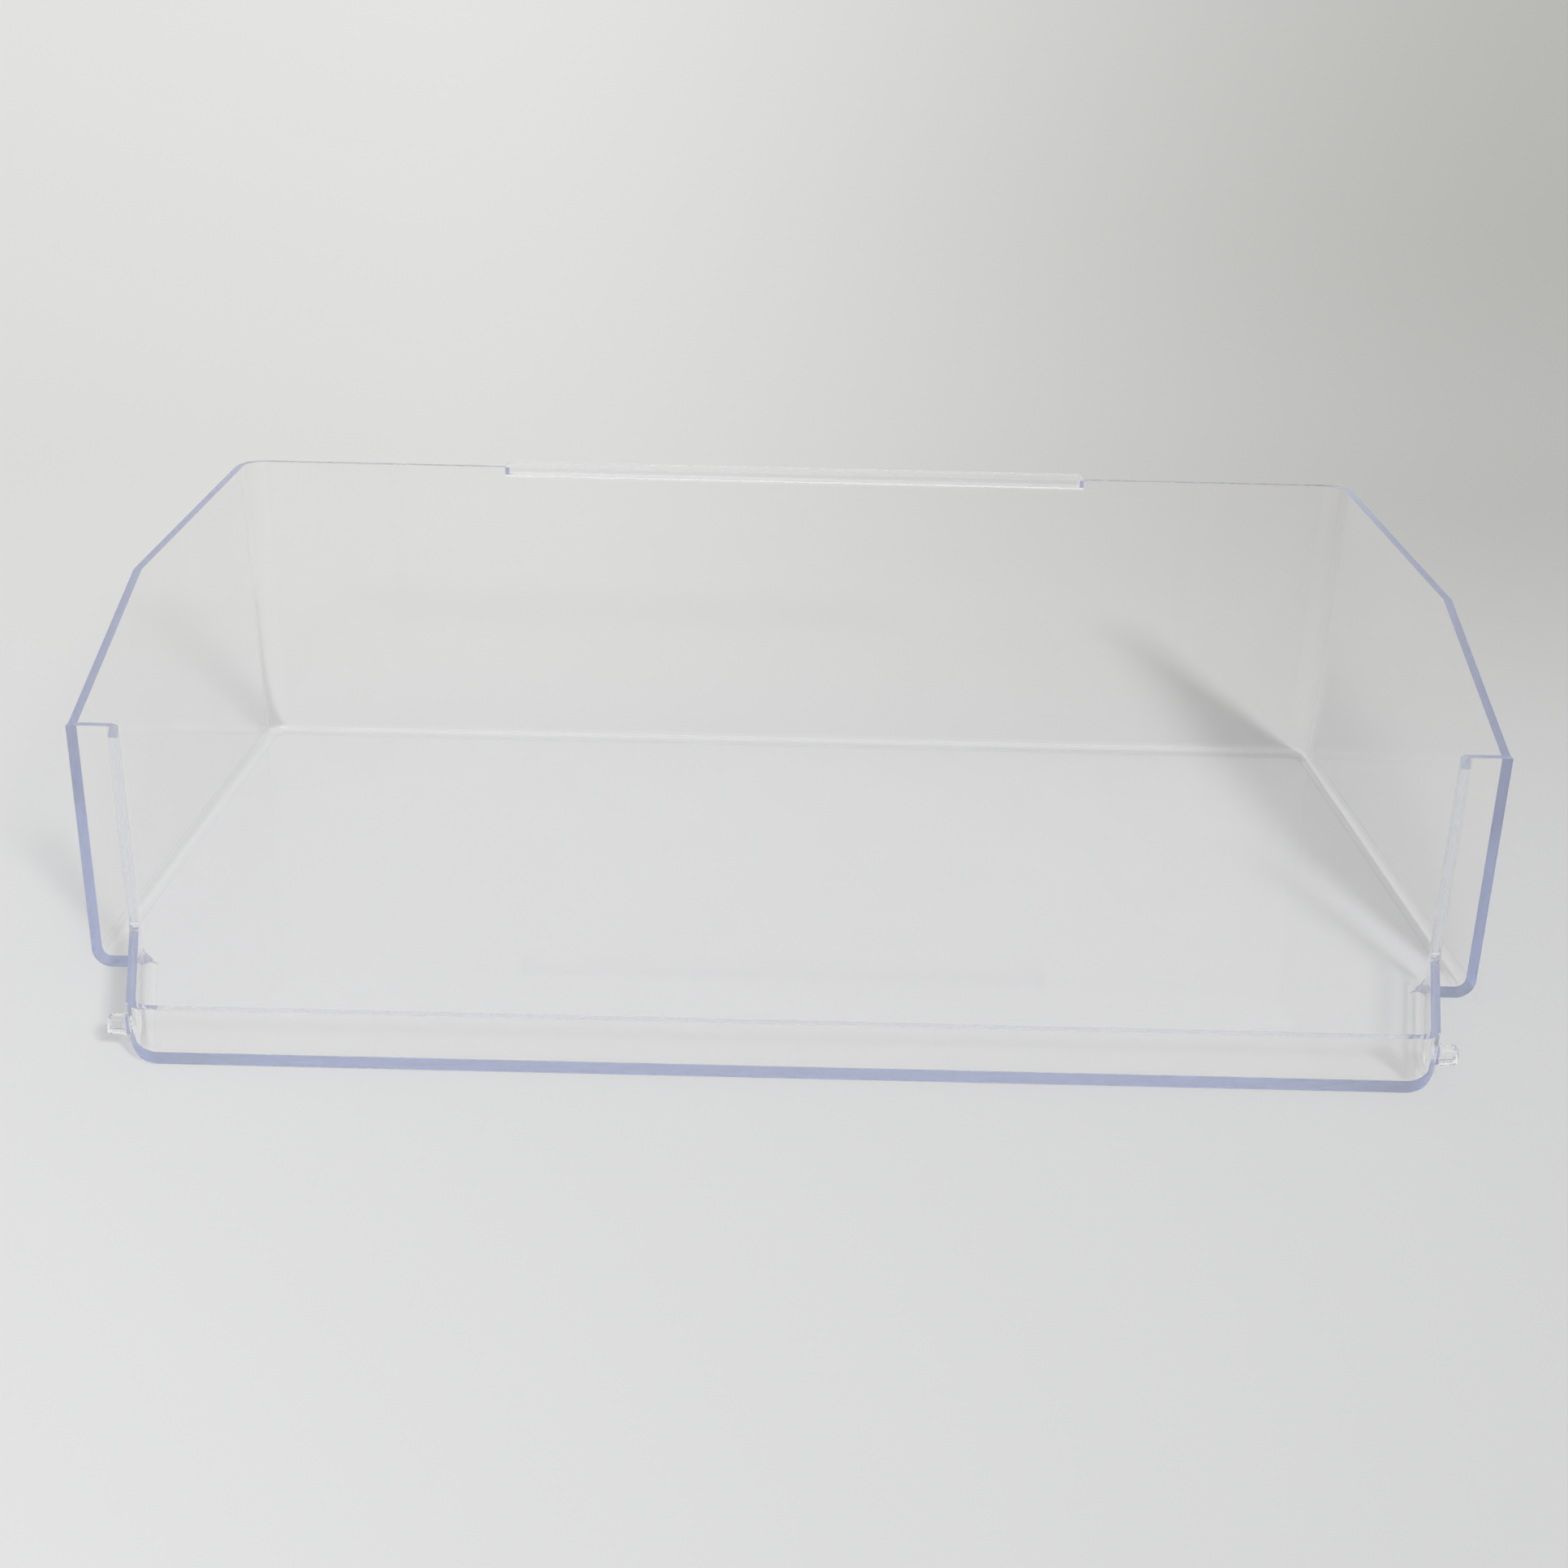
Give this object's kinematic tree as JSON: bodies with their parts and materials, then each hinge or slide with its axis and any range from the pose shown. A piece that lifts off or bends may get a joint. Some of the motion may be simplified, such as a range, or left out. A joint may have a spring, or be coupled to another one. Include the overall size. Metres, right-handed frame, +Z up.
{
  "type": "dairy compartment cover",
  "caption": "Clear moulded cover for a refrigerator door dairy compartment: a tray with sloped side walls, a narrower hinge tongue with end pins and a finger grip on the flap.",
  "frame": {"origin": "middle of the overall width and depth, on the underside of the floor panel", "axes": "+X to the right across the width, +Y from the hinge edge to the flap with the finger grip, +Z up out of the hollow, as the part lies in the picture"},
  "size_m": [0.292, 0.188, 0.0768],
  "materials": {
    "clear_plastic": "clear gloss, pale blue where looked at along a wall"
  },
  "bodies": {
    "root": {"dairy_cover": "clear_plastic"}
  },
  "joints": []
}
